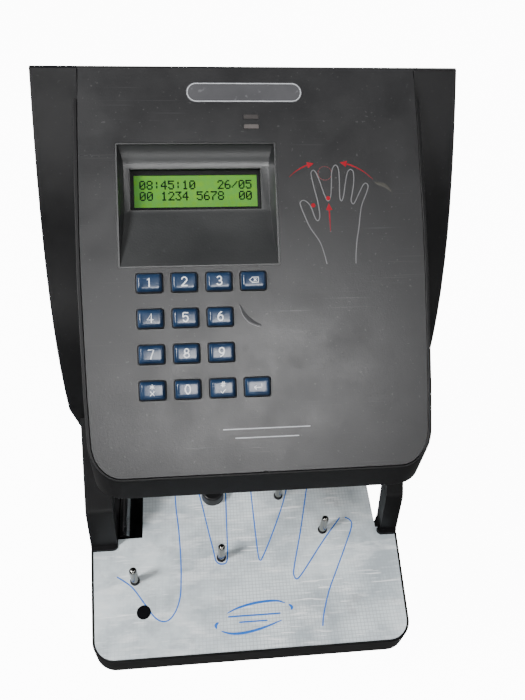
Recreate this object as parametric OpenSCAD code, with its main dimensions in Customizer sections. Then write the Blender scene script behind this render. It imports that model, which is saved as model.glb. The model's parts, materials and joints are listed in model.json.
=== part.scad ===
// Wall-mounted hand-geometry terminal: a sloped keypad head over an open hand platen.
// X runs across the terminal, Y points into the wall and the wall face is Y = 0, Z is up.
// The origin is the centre of the four wall bolts, on the wall face.

/* [Overall] */
// overall width, across the rear shell
body_w = 223; // [200:1:267]
// overall depth, from the wall to the front of the base
body_d = 217; // [205:1:260]
// overall height
body_h = 296; // [250:1:355]
// thickness of the moulded walls
wall_t = 3; // [2:0.25:4]

/* [Head] */
// depth of the head, from the wall to its front lip
head_d = 174.5; // [160:0.5:190]
// tilt of the front panel from the vertical, in degrees
panel_tilt = 55; // [52:0.5:60]
// width of the front panel at its widest
panel_w = 177; // [165:1:190]
// thickness of the front panel
panel_t = 3; // [2.5:0.25:4]
// width of the shell's rim beside the panel
rim_w = 2.25; // [2:0.25:4]
// width of the shell's rim in front of the panel
rim_front = 1.25; // [1:0.25:2.5]
// height of the plain lip under the panel's front edge
lip_h = 18.5; // [15:0.5:26]
// radius of the head's front corners, seen from above
head_corner = 15; // [8:1:22]

/* [Rear shell] */
// depth of the rear shell at its deepest
shell_d = 92; // [84:1:100]
// height of the wall bolts' centre above the bottom of the base
bolt_centre_h = 152; // [125:1:170]

/* [Base] */
// height of the platen's top face above the bottom of the base
base_h = 18; // [15:0.5:24]
// width of the base at its front edge
base_front_w = 206; // [180:1:215]
// depth of the rear box under the shell
box_d = 62; // [52:1:68]
// thickness of the metal platen plate
platen_t = 2; // [1:0.25:3]
// radius of the base's front corners
base_corner = 15; // [8:1:22]
// width of the left leg, across the terminal
leg_w = 18; // [14:0.5:22]
// width of the right arm, across the terminal
arm_w = 12; // [9:0.5:15]
// height of the bend in the leg and the arm
bend_h = 54; // [48:1:60]
// thickness of the leg and the arm, front to back
strut_t = 15; // [11:0.5:18]

/* [Finger guides] */
// radius of a finger pin
pin_r = 2.5; // [2:0.1:3.5]
// height of a finger pin above the platen
pin_h = 20; // [15:0.5:28]
// radius of the round post between the fingertips
post_r = 8; // [6:0.25:10]
// height of the round post above the platen
post_h = 9; // [6:0.5:20]

/* [Keypad] */
// spacing of the key columns
key_pitch_x = 17.5; // [16.5:0.25:20]
// spacing of the key rows
key_pitch_s = 18; // [15:0.25:19.5]
// width of a key at its skirt
key_w = 13.4; // [11.5:0.1:14]
// length of a key at its skirt, along the panel
key_l = 9.9; // [8.2:0.1:11]
// height of a key above the panel
key_h = 4; // [3:0.1:6]
// how far a key goes down
key_travel = 1.5; // [0.8:0.1:2]
// gap between a key and its hole, on each side
key_gap = 0.3; // [0.2:0.05:0.6]

/* [Display] */
// width of the display recess
bezel_w = 82; // [78:1:90]
// length of the display recess, along the panel
bezel_l = 64; // [54:1:65]
// depth of the display window below the panel
bezel_depth = 8; // [6:0.5:10]
// width of the display window
window_w = 68; // [60:0.5:72]
// length of the display window, along the panel
window_l = 21.5; // [18:0.5:24]

/* [Wall plate] */
// width of the wall plate
plate_w = 160; // [140:1:170]
// height of the wall plate
plate_h = 240; // [215:1:255]
// thickness of the wall plate
plate_t = 2; // [1.5:0.25:3]
// spacing of the wall bolts across the terminal
bolt_x = 120; // [90:1:130]
// spacing of the wall bolts up the wall
bolt_z = 180; // [150:1:190]
// radius of the wall bolt holes
bolt_r = 2.75; // [2.2:0.05:3.5]

/* [Hinge] */
// radius of the hinge pins
hinge_r = 2.5; // [2:0.1:3]
// radial gap between a hinge pin and its sleeve
hinge_gap = 0.06; // [0.02:0.01:0.1]

/* [Hidden] */
$fn = 64;
eps = 0.02;
beyond = 400;
half_w = body_w / 2;

// colours
black = [0.07, 0.07, 0.075];
charcoal = [0.13, 0.13, 0.14];
navy = [0.07, 0.13, 0.26];
steel = [0.72, 0.73, 0.74];
bright = [0.85, 0.86, 0.87];
green = [0.42, 0.62, 0.12];
board_green = [0.05, 0.27, 0.14];
clear = [0.6, 0.68, 0.7, 0.35];

// head: the panel plane starts at the top edge of the shell, against the wall
panel_y = -3;
panel_reach = head_d + panel_y;
panel_drop = panel_reach / tan(panel_tilt);
panel_len = panel_reach / sin(panel_tilt);
lip_top = body_h - panel_drop;
lip_bottom = lip_top - lip_h;
side_r = 1543;
side_steps = 6;
corner_steps = 12;
ledge_w = 2;
head_back = -16;
widest_y = -64;
fit_gap = 0.3;

// rear shell: the front runs from the top edge down to the waist, then in to the lower edge
waist_h = 0.4 * body_h;
low_h = 0.25 * body_h;
waist_in = 15;
low_y = -(shell_d - waist_in);
shell_a = [panel_y, body_h];
shell_b = [-0.6 * shell_d, 0.81 * body_h];
shell_c = [-0.957 * shell_d, 0.64 * body_h];
shell_e = [-shell_d, waist_h];
shell_steps = 12;
function curve(u) = pow(1 - u, 3) * shell_a + 3 * u * pow(1 - u, 2) * shell_b
    + 3 * u * u * (1 - u) * shell_c + pow(u, 3) * shell_e;
function shell_front(shift) = [for (i = [0:shell_steps]) curve(i / shell_steps) + [shift, 0]];
back_y = -1;
shell_wall = wall_t + 0.5;

// underside of the head
under_y = -shell_d + 0.5;
under_h = 0.46 * body_h;
under_slope = atan((lip_bottom - under_h) / (head_d + under_y));

// hinge at the bottom of the back
hinge_y = -8;
hinge_h = 7;
hinge_x = 60;
ear_t = 4;
ear_r = 5;
sleeve_r = 4.5;
sleeve_l = 8;
pin_out = 12;

// back cover and main board
cover_y = -30;
cover_t = 1.5;
cover_top = 0.86 * body_h;
cover_bottom = 20;
board_t = 1.6;
board_y = cover_y + 6;
board_w = 160;
board_hole = 4;
board_hole_r = 1.6;
board_low = 0.3 * body_h;
board_high = 0.74 * body_h;
board_face = board_y + board_t;
// each chip's x, height up the board as a share, width and height
chips = [[-50, 0.5, 20, 20], [-10, 0.5, 26, 26], [34, 0.62, 14, 22], [34, 0.35, 18, 12],
    [-52, 0.78, 12, 24], [-12, 0.82, 30, 9]];
plate_low = bolt_centre_h - plate_h / 2;

// base outlines
strut_outer = half_w - 3.5;
mid_y = -143;
tray_right = 93.6;
foot_back = mid_y + strut_t;
foot_h = 1.6;
foot_r = 2.9;
arm_foot_l = 6;
strut_lean = 12.5;
strut_top_share = 0.33;
arm_foot_in = strut_outer - arm_w - 2;
tray_wall = 3;
plate_inset = 1.4;
platen_back = 0.4;
cover_skin = 2.2;
foot_screws = [[-80, -200], [80, -200], [0, -200], [0, -80]];
deck = base_h - platen_t;
gap_front = mid_y + arm_foot_l + 0.2;
recess_right = -73;
recess_left = -strut_outer + leg_w;
recess_front = -135;
recess_back = -78;

// side mirror
mirror_l = recess_back - recess_front - 4;
mirror_low = wall_t;
mirror_run = recess_right - recess_left - 2;

// finger guides
pins = [[-77.5, -165.5], [-18.7, -153], [54.5, -137], [25.5, -108.5]];
post_at = [-22.6, -105.5];
grommet_r = pin_r + 0.7;
grommet_h = 1.2;

// keypad: columns count from the left, rows from the top
key_first_x = -54.6;
key_first_s = 111;
key_side = 0.75;
flange_w = 1;
flange_t = 1;
flange_drop = 0.2;
mat_t = 1.4;
mat_drop = panel_t + flange_drop + flange_t + key_travel + 0.3;
slab_side = 9;
slab_end = 7;
keyboard_drop = mat_drop + mat_t;
// each key's name, column and row
key_list = [["key_1", 0, 0], ["key_2", 1, 0], ["key_3", 2, 0], ["key_clear", 3, 0],
    ["key_4", 0, 1], ["key_5", 1, 1], ["key_6", 2, 1],
    ["key_7", 0, 2], ["key_8", 1, 2], ["key_9", 2, 2],
    ["key_star", 0, 3], ["key_0", 1, 3], ["key_hash", 2, 3], ["key_enter", 3, 3]];
function key_x(k) = key_first_x + k[1] * key_pitch_x;
function key_s(k) = key_first_s + k[2] * key_pitch_s;

// display
bezel_x = -28.8;
bezel_s = 39;
bezel_wall = 2;
bezel_rim = 0.8;
bezel_lean = 2.4;
bezel_gap = 0.1;
window_s = 50.2;
window_x = -29.4;
glass_t = 1.5;
lcd_t = 2.6;
stack_drop = bezel_depth + bezel_wall;
lcd_w = 71;
lcd_l = 24;
lcd_view_w = 64.6;
lcd_view_l = 17;
lcd_y = -window_s - window_l / 2;
lcd_top = -stack_drop - glass_t - 0.8;

// status lights
light_w = 7.6;
light_l = 2.2;
light_x = 0;
light_s = [24.6, 29.7];

// camera
cam_x = -8;
cam_s = 42;
cam_r = 8;
cam_win_w = 46;
cam_win_l = 34;
cam_l = 18;

// lock on the right side
lock_y = -21;
lock_h = 0.845 * body_h;
lock_r = 6;
lock_gap = 0.06;
cam_in = half_w - 27.5;
cam_t = 3;
claw_in = 10.4;
claw_out = 15.6;
claw_r = 18.5;
stud_reach = 13;
stud_r = 2;

// ---- placing ----

// sets a piece measured from the bottom of the base into the frame of the wall bolts
module placed() {
    translate([0, 0, -bolt_centre_h]) children();
}

// x across, y up the panel, z out of the panel; the top edge of the panel is y = 0
module on_panel() {
    translate([0, panel_y, body_h]) rotate([90 - panel_tilt, 0, 0]) children();
}

// x across, y back along the head's underside, z into the head
module on_underside() {
    translate([0, -head_d, lip_bottom]) rotate([-under_slope, 0, 0]) children();
}

// extrudes an outline drawn as [y, z] across the terminal, from x0 to x1
module across(x0, x1) {
    translate([x0, 0, 0]) rotate([90, 0, 90]) linear_extrude(x1 - x0) children();
}

// rounded rectangle from a corner, with exact arcs
module round_rect(w, l, r) {
    union() {
        translate([r, 0]) square([w - 2 * r, l]);
        translate([0, r]) square([w, l - 2 * r]);
        for (x = [r, w - r], y = [r, l - r]) translate([x, y]) circle(r);
    }
}

module round_box(w, l, h, r) {
    linear_extrude(h) translate([-w / 2, -l / 2]) round_rect(w, l, r);
}

// ---- shared outlines ----

// points of an arc of radius r that rounds corner b between a and c
function fillet(a, b, c, r) = let(
    u = (a - b) / norm(a - b),
    v = (c - b) / norm(c - b),
    half = acos(u * v) / 2,
    centre = b + (u + v) / norm(u + v) * r / sin(half),
    from = b + u * r / tan(half) - centre,
    to = b + v * r / tan(half) - centre,
    start = atan2(from[1], from[0]),
    turn = atan2(to[1], to[0]) - start,
    sweep = turn > 180 ? turn - 360 : turn < -180 ? turn + 360 : turn
) [for (i = [0:corner_steps]) centre + r * [cos(start + sweep * i / corner_steps),
    sin(start + sweep * i / corner_steps)]];
function mirrored(points) = [for (i = [len(points) - 1:-1:0]) [-points[i][0], points[i][1]]];

// half width of the head at depth y: widest at widest_y
function head_half(y, g) = panel_w / 2 + g - pow(y - widest_y, 2) / (2 * side_r);

// plan of the head, grown by g beside the panel and by up to the front rim before it
module head_plan(g) {
    front = -(head_d - rim_front + min(g, rim_front));
    side = [for (i = [0:side_steps]) let(y = panel_y + 0.8 * (front - panel_y) * i / side_steps)
        [head_half(y, g), y]];
    corner = [head_half(front, g), front];
    right = concat(side, fillet(side[side_steps], corner, [0, front], head_corner + g));
    polygon(concat(right, mirrored(right)));
}

// side profile of the rear shell, drawn as [y, z]
module shell_profile() {
    polygon(concat([[back_y, low_h], [back_y, body_h]], shell_front(0),
        [[low_y, low_h]]));
}

module shell_hollow() {
    intersection() {
        polygon(concat([[5, low_h], [5, body_h]], shell_front(shell_wall),
            [[low_y + shell_wall, low_h]]));
        translate([-beyond, low_h + wall_t]) square([2 * beyond, body_h - low_h - 2 * wall_t]);
    }
}

// side profile of the head in front of the shell
module head_profile() {
    polygon([[head_back, body_h - (panel_y - head_back) / tan(panel_tilt)], [-head_d, lip_top],
        [-head_d, lip_bottom], [under_y, under_h], [under_y + 12, under_h - 12 * tan(under_slope)],
        [head_back, under_h]]);
}

// the panel grown by g, from its back to a height over its face
module panel_solid(g, over) {
    intersection() {
        translate([0, 0, lip_bottom - 20]) linear_extrude(body_h) head_plan(g);
        on_panel() translate([-beyond / 2, -panel_len - 20, -panel_t])
            cube([beyond, panel_len + 20 + eps + 2 * over, panel_t + over]);
    }
}

// plan of the base, moved in by g
module base_plan(g) {
    front = -body_d + g;
    corner = [base_front_w / 2 - g, front];
    side = [strut_outer - g, mid_y];
    right = concat([[strut_outer - g, -box_d + 4], side],
        fillet(side, corner, [0, front], base_corner - g));
    polygon(concat(right, mirrored(right)));
}

// the part of the base plan that the tray covers
module tray_plan(g) {
    intersection() {
        base_plan(g);
        translate([-beyond / 2, -body_d]) square([beyond, body_d - box_d - g]);
    }
}

// recess for the side mirror, widened by g
module recess_plan(g) {
    translate([recess_left - g, recess_front - g])
        square([recess_right - recess_left + 2 * g, recess_back - recess_front + 2 * g]);
}

// open slot between the tray and the right arm, widened by g
module arm_gap_plan(g) {
    translate([tray_right - g, foot_back]) square([40, -box_d - foot_back]);
    translate([tray_right - g, gap_front - g]) square([2.9 + g, -box_d - gap_front + g]);
}

// bent strut drawn as [y, z]: leaning back from its foot, then further back to the shell
module strut_profile() {
    top = strut_top_share * body_h;
    low = top - 0.75 * strut_t - 2;
    bend_y = mid_y + strut_lean;
    polygon([[mid_y + 2, deck], [mid_y + 3, base_h + foot_h], [bend_y - 1, bend_h - 3],
        [bend_y + 2, bend_h + 1], [-shell_d + shell_fall(top), top],
        [-shell_d + shell_fall(low), low], [bend_y + strut_t - 3, bend_h - 0.6 * strut_t],
        [mid_y + strut_t, base_h + foot_h], [mid_y + strut_t, deck]]);
}

// how far the rear shell's lower front has drawn in at height z
function shell_fall(z) = (waist_h - z) / (waist_h - low_h) * waist_in;

// plan of a strut's foot between x0 and x1, of length l, widened by g
module foot_plan(x0, x1, l, g) {
    translate([x0 - g, mid_y - g]) round_rect(x1 - x0 + 2 * g, l + 2 * g, foot_r + g);
}

// ---- housing ----

module rear_shell() {
    color(black) placed() difference() {
        across(-half_w, half_w) shell_profile();
        across(-half_w + wall_t, half_w - wall_t) shell_hollow();
        // opening into the head
        translate([-panel_w / 2 + 6, -beyond, under_h + 8])
            cube([panel_w - 12, beyond + 10, body_h - under_h - 29]);
        // the panel and the display sit in the top wall
        panel_solid(fit_gap, 5);
        // the shell's floor stops short of the back cover
        translate([-half_w + wall_t, cover_y - cover_t, 0]) cube([body_w - 2 * wall_t, 40, body_h / 2]);
        // hole for the lock
        translate([half_w - wall_t - 1, lock_y, lock_h]) rotate([0, 90, 0])
            cylinder(r = lock_r + fit_gap, h = wall_t + 2);
    }
}

module head_shell() {
    color(black) placed() difference() {
        intersection() {
            translate([0, 0, low_h]) linear_extrude(body_h) head_plan(rim_w);
            across(-half_w, half_w) head_profile();
        }
        // hollow, open under the panel and towards the rear shell
        intersection() {
            translate([0, 0, low_h]) linear_extrude(body_h) head_plan(-ledge_w);
            across(-half_w, half_w) polygon([[20, body_h + 40], [-head_d + wall_t, body_h + 40],
                [-head_d + wall_t, lip_bottom + wall_t - wall_t * tan(under_slope)],
                [under_y, under_h + wall_t], [under_y + 12, under_h + wall_t - 12 * tan(under_slope)],
                [20, under_h]]);
        }
        panel_solid(fit_gap, 5);
        // what the rear shell fills
        across(-half_w, half_w) shell_profile();
        // camera window
        on_underside() translate([cam_x - cam_win_w / 2 + 2, cam_s - cam_win_l / 2 + 2, -10])
            cube([cam_win_w - 4, cam_win_l - 4, 30]);
        on_underside() translate([cam_x - cam_win_w / 2, cam_s - cam_win_l / 2, wall_t - 1.6])
            cube([cam_win_w, cam_win_l, 10]);
    }
}

module front_panel() {
    color(charcoal) placed() difference() {
        panel_solid(0, 0);
        on_panel() {
            // holes for the keys
            for (k = key_list) translate([key_x(k), -key_s(k), -panel_t - 1])
                round_box(key_w + 2 * key_gap, key_l + 2 * key_gap, panel_t + 2, 1.2 + key_gap);
            // opening for the display recess
            translate([bezel_x, -bezel_s - bezel_l / 2, -panel_t - 1])
                round_box(bezel_w + 2 * bezel_gap, bezel_l + 2 * bezel_gap, panel_t + 2,
                    1 + bezel_gap);
            // slots for the status lights
            for (s = light_s) translate([light_x, -s - light_l / 2, -panel_t - 1])
                round_box(light_w + 0.2, light_l + 0.2, panel_t + 2, 0.5);
            // small notch in the front edge
            translate([0.5, -panel_len, -panel_t]) cylinder(r = 2, h = panel_t + 4);
        }
    }
}

module base_tray() {
    color(black) placed() difference() {
        union() {
            // deck and outer walls
            difference() {
                linear_extrude(deck) tray_plan(0);
                translate([0, 0, -1]) linear_extrude(deck - wall_t + 1) tray_plan(tray_wall);
            }
            // raised rim round the platen's front and sides
            difference() {
                linear_extrude(base_h - 0.4) tray_plan(0);
                linear_extrude(base_h + 2) base_plan(plate_inset);
            }
            // walls beside the arm's slot and round the mirror recess
            linear_extrude(deck) intersection() {
                tray_plan(0);
                union() {
                    arm_gap_plan(tray_wall);
                    recess_plan(tray_wall);
                }
            }
        }
        // slot beside the arm
        translate([0, 0, -1]) linear_extrude(base_h + 2) difference() {
            arm_gap_plan(0);
            translate([strut_outer - arm_w, mid_y]) square([beyond, strut_t]);
        }
        // recess for the side mirror
        translate([0, 0, wall_t]) linear_extrude(base_h) recess_plan(0);
        // space for the feet of the leg and the arm
        translate([0, 0, deck]) linear_extrude(base_h) {
            foot_plan(-strut_outer, -strut_outer + leg_w, strut_t, 0);
            foot_plan(arm_foot_in, strut_outer, arm_foot_l, 0);
            translate([strut_outer - arm_w, mid_y + foot_r]) square([arm_w, strut_t - foot_r]);
        }
        // holes for the finger pins' screws
        for (p = pins) translate([p[0], p[1], deck - wall_t - 1])
            cylinder(r = pin_r - 0.5, h = wall_t + 2);
    }
}

module rear_box() {
    color(black) placed() difference() {
        translate([-strut_outer, -box_d, 0]) cube([2 * strut_outer, box_d + back_y, low_h]);
        translate([-strut_outer + wall_t, -box_d + wall_t, wall_t])
            cube([2 * (strut_outer - wall_t), box_d, low_h - 2 * wall_t]);
        // the floor and the top stop at the back cover
        translate([-strut_outer + wall_t, cover_y - cover_t, -1])
            cube([2 * (strut_outer - wall_t), 60, low_h + 2]);
        // clearance below the hinge axis
        translate([-half_w, hinge_y, -1]) cube([body_w, 20, hinge_h + 2]);
    }
}

module left_leg() {
    color(black) placed() {
        across(-strut_outer, -strut_outer + leg_w) strut_profile();
        translate([0, 0, deck]) linear_extrude(platen_t + foot_h)
            foot_plan(-strut_outer, -strut_outer + leg_w, strut_t, 0);
    }
}

module right_arm() {
    color(black) placed() {
        across(strut_outer - arm_w, strut_outer) strut_profile();
        translate([0, 0, deck]) linear_extrude(platen_t + foot_h)
            foot_plan(arm_foot_in, strut_outer, arm_foot_l, 0);
    }
}

module base_cover() {
    color(charcoal) placed() difference() {
        linear_extrude(cover_skin) tray_plan(tray_wall + fit_gap);
        translate([0, 0, -1]) linear_extrude(wall_t + 2) {
            arm_gap_plan(tray_wall + fit_gap);
            recess_plan(tray_wall + fit_gap);
        }
        for (p = foot_screws) translate([p[0], p[1], -1]) cylinder(r = 1.6, h = wall_t + 2);
    }
}

module back_cover() {
    color([0.2, 0.2, 0.21]) placed() difference() {
        translate([-half_w + wall_t + 4, cover_y - cover_t, cover_bottom])
            cube([body_w - 2 * wall_t - 8, cover_t, cover_top - cover_bottom]);
        // vent slots
        for (i = [0:5]) translate([-40 + i * 16, cover_y - 10, cover_bottom + 22])
            cube([6, 20, 18]);
    }
}

module platen_plate() {
    color(steel) placed() difference() {
        translate([0, 0, deck]) linear_extrude(platen_t) intersection() {
            base_plan(plate_inset + 0.2);
            translate([-beyond / 2, -body_d]) square([beyond, body_d - box_d - 0.5]);
        }
        translate([0, 0, deck - 1]) linear_extrude(platen_t + 2) {
            // round the leg and the mirror recess
            foot_plan(-strut_outer - 5, -strut_outer + leg_w, strut_t, fit_gap);
            translate([-strut_outer - 1, mid_y + strut_t / 2])
                square([leg_w + 1 + fit_gap, box_d + body_d]);
            translate([recess_left - 1, recess_front]) square([recess_right - recess_left + 1, body_d]);
            // round the arm and its slot
            foot_plan(arm_foot_in, strut_outer + 5, arm_foot_l, fit_gap);
            translate([tray_right - platen_back, gap_front - platen_back]) square([40, body_d]);
        }
        for (p = pins) translate([p[0], p[1], deck - 1]) cylinder(r = grommet_r, h = platen_t + 2);
        translate([post_at[0], post_at[1], deck - 1]) cylinder(r = post_r, h = platen_t + 2);
    }
}

// ---- finger guides ----

module finger_pins() {
    color(bright) placed() for (p = pins) translate([p[0], p[1], deck]) {
        cylinder(r = pin_r, h = platen_t + pin_h - pin_r);
        translate([0, 0, platen_t + pin_h - pin_r]) intersection() {
            sphere(pin_r);
            cylinder(r = pin_r + 1, h = pin_r + 1);
        }
    }
}

module pin_grommets() {
    color(black) placed() for (p = pins) translate([p[0], p[1], deck]) difference() {
        cylinder(r = grommet_r, h = platen_t + grommet_h);
        translate([0, 0, -1]) cylinder(r = pin_r, h = platen_t + grommet_h + 2);
    }
}

module finger_post() {
    color(black) placed() translate([post_at[0], post_at[1], deck]) rotate_extrude() {
        square([post_r, platen_t + post_h - 1.5]);
        square([post_r - 1.5, platen_t + post_h]);
        translate([post_r - 1.5, platen_t + post_h - 1.5]) intersection() {
            circle(1.5);
            square(1.5);
        }
    }
}

// ---- side mirror ----

module mirror_holder() {
    color(black) placed() translate([recess_left + 1, recess_back - 2, mirror_low]) rotate([90, 0, 0])
        linear_extrude(mirror_l) polygon([[0, 0], [mirror_run, 0], [mirror_run, 2],
            [2, mirror_run], [0, mirror_run]]);
}

module mirror_glass() {
    color(bright) placed() translate([recess_left + 3, recess_back - 3, mirror_low + mirror_run])
        rotate([90, 0, 0]) linear_extrude(mirror_l - 2) rotate(-45)
            square([(mirror_run - 2) * sqrt(2) - 0.5, 1.2]);
}

// ---- camera ----

module camera_window() {
    color([0.12, 0.02, 0.03, 0.6]) placed() on_underside()
        translate([cam_x, cam_s, wall_t - 1.6]) translate([-cam_win_w / 2 + 0.2, -cam_win_l / 2 + 0.2, 0])
            cube([cam_win_w - 0.4, cam_win_l - 0.4, 1.6]);
}

module camera_barrel() {
    color(black) placed() on_underside() translate([cam_x, cam_s, wall_t + 3]) difference() {
        union() {
            cylinder(r = cam_r, h = cam_l - 4);
            translate([0, 0, cam_l - 4]) cylinder(r = cam_r + 2, h = 4);
        }
        translate([0, 0, -1]) cylinder(r = cam_r - 2, h = cam_l - 3);
    }
}

module camera_lens() {
    color(clear) placed() on_underside() translate([cam_x, cam_s, wall_t + 5]) intersection() {
        cylinder(r = cam_r - 2, h = 5);
        translate([0, 0, 9]) sphere(9);
    }
}

module camera_board() {
    color(board_green) placed() on_underside() translate([cam_x - 18, cam_s - 15, wall_t + 3 + cam_l])
        cube([36, 30, board_t]);
}

module light_board() {
    color(board_green) placed() on_underside() translate([cam_x, cam_s, wall_t + 7]) difference() {
        translate([-30, -20, 0]) cube([60, 40, board_t]);
        translate([0, 0, -1]) cylinder(r = cam_r + 0.4, h = board_t + 2);
    }
}

module light_leds() {
    color(clear) placed() on_underside() for (x = [-18, -13, 13, 18], y = [-10, 0, 10])
        translate([cam_x + x, cam_s + y, wall_t + 2.5]) {
            translate([0, 0, 1.5]) cylinder(r = 1.5, h = 3);
            translate([0, 0, 1.5]) sphere(1.5);
        }
}

// ---- display ----

// section of the recess drawn as [position up the panel, height]: cove, floor, then a long scoop
module bezel_section() {
    top = -bezel_s - bezel_rim;
    low = -bezel_s - bezel_l + bezel_rim;
    win_top = -window_s + 1;
    win_low = -window_s - window_l - 1;
    cove = win_top - top;
    scoop = low - win_low;
    d = bezel_depth;
    polygon([[top, 5], [top, -0.14 * d], [top + 0.16 * cove, -0.42 * d],
        [top + 0.4 * cove, -0.7 * d], [top + 0.7 * cove, -0.91 * d], [win_top, -d],
        [win_low, -d], [win_low + 0.04 * scoop, -0.93 * d], [win_low + 0.28 * scoop, -0.78 * d],
        [win_low + 0.55 * scoop, -0.52 * d], [win_low + 0.8 * scoop, -0.24 * d],
        [low, -0.03 * d], [low, 5]]);
}

// section of the recess drawn as [across, height]: its side walls lean in towards the floor
module bezel_sides() {
    half = bezel_w / 2 - bezel_rim;
    polygon([[-half, 5], [-half, 0], [bezel_lean - half, -bezel_depth], [half - bezel_lean, -bezel_depth],
        [half, 0], [half, 5]]);
}

module display_bezel() {
    color(black) placed() on_panel() difference() {
        translate([bezel_x, -bezel_s - bezel_l / 2, -stack_drop])
            round_box(bezel_w, bezel_l, stack_drop - 0.1, 1);
        intersection() {
            translate([bezel_x - bezel_w / 2, 0, 0]) rotate([90, 0, 90])
                linear_extrude(bezel_w) bezel_section();
            translate([bezel_x, 0, 0]) rotate([90, 0, 0])
                linear_extrude(bezel_s + bezel_l + 10) bezel_sides();
        }
        // window
        translate([window_x - window_w / 2, -window_s - window_l, -stack_drop - 1])
            cube([window_w, window_l, stack_drop]);
    }
}

module display_window() {
    color(clear) placed() on_panel()
        translate([window_x - window_w / 2 - 1.5, -window_s - window_l - 1.5, -stack_drop - glass_t])
            cube([window_w + 3, window_l + 3, glass_t]);
}

module display_frame() {
    color([0.1, 0.1, 0.1]) placed() on_panel() difference() {
        translate([window_x - lcd_w / 2 - 1, lcd_y - lcd_l / 2 - 1, lcd_top - lcd_t])
            cube([lcd_w + 2, lcd_l + 2, lcd_t + 0.8]);
        translate([window_x - lcd_w / 2, lcd_y - lcd_l / 2, lcd_top - lcd_t - 1])
            cube([lcd_w, lcd_l, lcd_t + 1]);
        translate([window_x - lcd_view_w / 2, lcd_y - lcd_view_l / 2, lcd_top - 1])
            cube([lcd_view_w, lcd_view_l, 4]);
    }
}

module display_glass() {
    color(green) placed() on_panel()
        translate([window_x - lcd_w / 2 + 0.1, lcd_y - lcd_l / 2 + 0.1, lcd_top - lcd_t])
            cube([lcd_w - 0.2, lcd_l - 0.2, lcd_t - 0.1]);
}

module display_board() {
    color(board_green) placed() on_panel()
        translate([window_x - 40, lcd_y - 18, lcd_top - lcd_t - board_t])
            cube([80, 36, board_t]);
}

// ---- keypad ----

// slab under all the keys
module keypad_slab(t) {
    translate([key_first_x - slab_side, -key_first_s - 3 * key_pitch_s - slab_end, 0])
        cube([3 * key_pitch_x + 2 * slab_side, 3 * key_pitch_s + 2 * slab_end, t]);
}

module key_at(i) {
    k = key_list[i];
    color(navy) placed() on_panel() translate([key_x(k), -key_s(k), 0]) {
        // flange that keeps the key behind the panel
        translate([0, 0, -panel_t - flange_drop - flange_t])
            round_box(key_w + 2 * flange_w, key_l + 2 * flange_w, flange_t, 1.2);
        // skirt
        translate([0, 0, -panel_t - flange_drop - eps])
            round_box(key_w, key_l, panel_t + flange_drop + 1.2 + eps, 1.2);
        // cap
        translate([0, 0, 1])
            round_box(key_w - 2 * key_side, key_l - 2 * key_side, key_h - 1.6, 1.2);
        translate([0, 0, 1.1])
            round_box(key_w - 2 * key_side - 1.2, key_l - 2 * key_side - 1.2, key_h - 1.1, 1);
    }
}

module keypad_mat() {
    color([0.2, 0.2, 0.22]) placed() on_panel() translate([0, 0, -mat_drop - mat_t]) keypad_slab(mat_t);
}

module keypad_board() {
    color(board_green) placed() on_panel() translate([0, 0, -keyboard_drop - board_t])
        keypad_slab(board_t);
}

// ---- status lights and name plate ----

module status_light(s) {
    placed() on_panel() {
        translate([light_x, -s - light_l / 2, -panel_t])
            round_box(light_w, light_l, panel_t + 0.3, 0.4);
        translate([light_x, -s - light_l / 2, -panel_t - 1])
            round_box(light_w + 2, light_l + 1.2, 1, 0.4);
    }
}

module status_light_upper() {
    color([0.45, 0.4, 0.4]) status_light(light_s[0]);
}

module status_light_lower() {
    color([0.6, 0.45, 0.45]) status_light(light_s[1]);
}

module name_plate() {
    color([0.3, 0.3, 0.32]) placed() on_panel() translate([-3, -12.9, 0])
        round_box(60, 10.5, 0.4, 5);
}

// ---- electronics on the back ----

module main_board() {
    color(board_green) placed() difference() {
        translate([-board_w / 2, board_y, board_low]) cube([board_w, board_t, board_high - board_low]);
        for (x = [-1, 1], z = [board_low + board_hole, board_high - board_hole])
            translate([x * (board_w / 2 - board_hole), board_y - 1, z]) rotate([-90, 0, 0])
                cylinder(r = board_hole_r, h = board_t + 2);
    }
}

module board_posts() {
    color(bright) placed() for (x = [-1, 1], z = [board_low + board_hole, board_high - board_hole])
        translate([x * (board_w / 2 - board_hole), cover_y, z]) rotate([-90, 0, 0]) {
            cylinder(r = 3, h = board_y - cover_y);
            cylinder(r = 1.5, h = board_y - cover_y + board_t + 1);
            translate([0, 0, board_y - cover_y + board_t]) cylinder(r = 3, h = 1.8);
        }
}

module board_chips() {
    color([0.06, 0.06, 0.06]) placed() for (c = chips)
        translate([c[0] - c[2] / 2, board_face, board_low + c[1] * (board_high - board_low) - c[3] / 2])
            cube([c[2], 2.2, c[3]]);
}

module ethernet_jack() {
    color([0.75, 0.76, 0.77]) placed() translate([40, board_face, board_low + 2]) difference() {
        cube([16, 13.5, 21]);
        translate([2, 2, -1]) cube([12, 9, 15]);
    }
}

module power_jack() {
    color(black) placed() translate([63, board_face, board_low + 2]) {
        difference() {
            cube([9, 11, 14]);
            translate([4.5, 5.8, -1]) cylinder(r = 3, h = 11);
        }
        translate([4.5, 5.8, 1]) cylinder(r = 1, h = 10);
    }
}

module terminal_blocks() {
    color([0.16, 0.45, 0.2]) placed() for (x = [-72, -34, 4])
        translate([x, board_face, board_low + 3]) difference() {
            cube([30, 10, 9]);
            for (i = [0:5]) translate([1.2 + i * 5, 4, -1]) cube([2.8, 4, 7]);
        }
}

module battery() {
    cell_r = 3.5;
    low = board_low + 0.74 * (board_high - board_low);
    color([0.12, 0.2, 0.5]) placed() translate([44, board_face, low])
        rotate([0, 90, 0]) for (i = [0, 1, 2])
            translate([-2 * cell_r * i, cell_r + 0.5, 0]) cylinder(r = cell_r, h = 26);
}

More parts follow.
